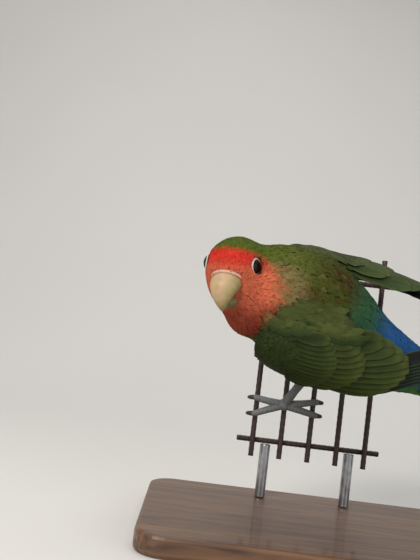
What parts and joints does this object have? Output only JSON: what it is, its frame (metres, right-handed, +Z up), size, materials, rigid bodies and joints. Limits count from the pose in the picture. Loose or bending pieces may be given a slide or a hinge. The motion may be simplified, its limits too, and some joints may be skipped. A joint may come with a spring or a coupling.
{
  "type": "peach faced lovebird on a wire perch",
  "caption": "Life-size still model of a peach faced lovebird clinging to a short cut length of upright wires, held by a plain display stand.",
  "frame": {"origin": "middle of the underside of the stand's base", "axes": "+Z up, +X towards the bird's tail along the wires' plane, +Y from the bird to the wires"},
  "size_m": [0.144, 0.084, 0.105],
  "materials": {
    "face_feathers": "matt orange and red feathers",
    "neck_feathers": "matt olive feathers",
    "body_feathers": "matt olive green feathers",
    "rump_feathers": "matt teal and blue feathers",
    "tail_feathers": "smooth feathers, blue, green, orange and black",
    "wing_feathers": "smooth olive green feathers with pale edges",
    "primary_feathers": "smooth dark grey brown feathers",
    "bill_horn": "satin horn, cream with a greenish tip",
    "cere_skin": "soft bare skin",
    "eye_gloss": "wet dark brown",
    "leg_scales": "dry grey scales",
    "claw_horn": "dark horn",
    "perch_wire": "rough dark brown coating",
    "stand_wood": "satin dark wood",
    "stand_metal": "brushed steel rods"
  },
  "bodies": {
    "root": {"bill_lower": "bill_horn", "bill_upper": "bill_horn", "cere": "cere_skin", "claw_left_back_inner": "claw_horn", "claw_left_back_outer": "claw_horn", "claw_left_front_inner": "claw_horn", "claw_left_front_outer": "claw_horn", "claw_right_back_inner": "claw_horn", "claw_right_back_outer": "claw_horn", "claw_right_front_inner": "claw_horn", "claw_right_front_outer": "claw_horn", "cross_wire_lower": "perch_wire", "cross_wire_upper": "perch_wire", "eye_left": "eye_gloss", "eye_right": "eye_gloss", "foot_left": "leg_scales", "foot_right": "leg_scales", "head": "face_feathers", "neck": "neck_feathers", "rump": "rump_feathers", "shank_left": "leg_scales", "shank_right": "leg_scales", "stand_base": "stand_wood", "stand_rod_1": "stand_metal", "stand_rod_2": "stand_metal", "tail": "tail_feathers", "thigh_left": "body_feathers", "thigh_right": "body_feathers", "torso": "body_feathers", "wing_left": "wing_feathers", "wing_left_primaries": "primary_feathers", "wing_right": "wing_feathers", "wing_right_primaries": "primary_feathers", "wire_1": "perch_wire", "wire_2": "perch_wire", "wire_3": "perch_wire", "wire_4": "perch_wire", "wire_5": "perch_wire"}
  },
  "joints": []
}
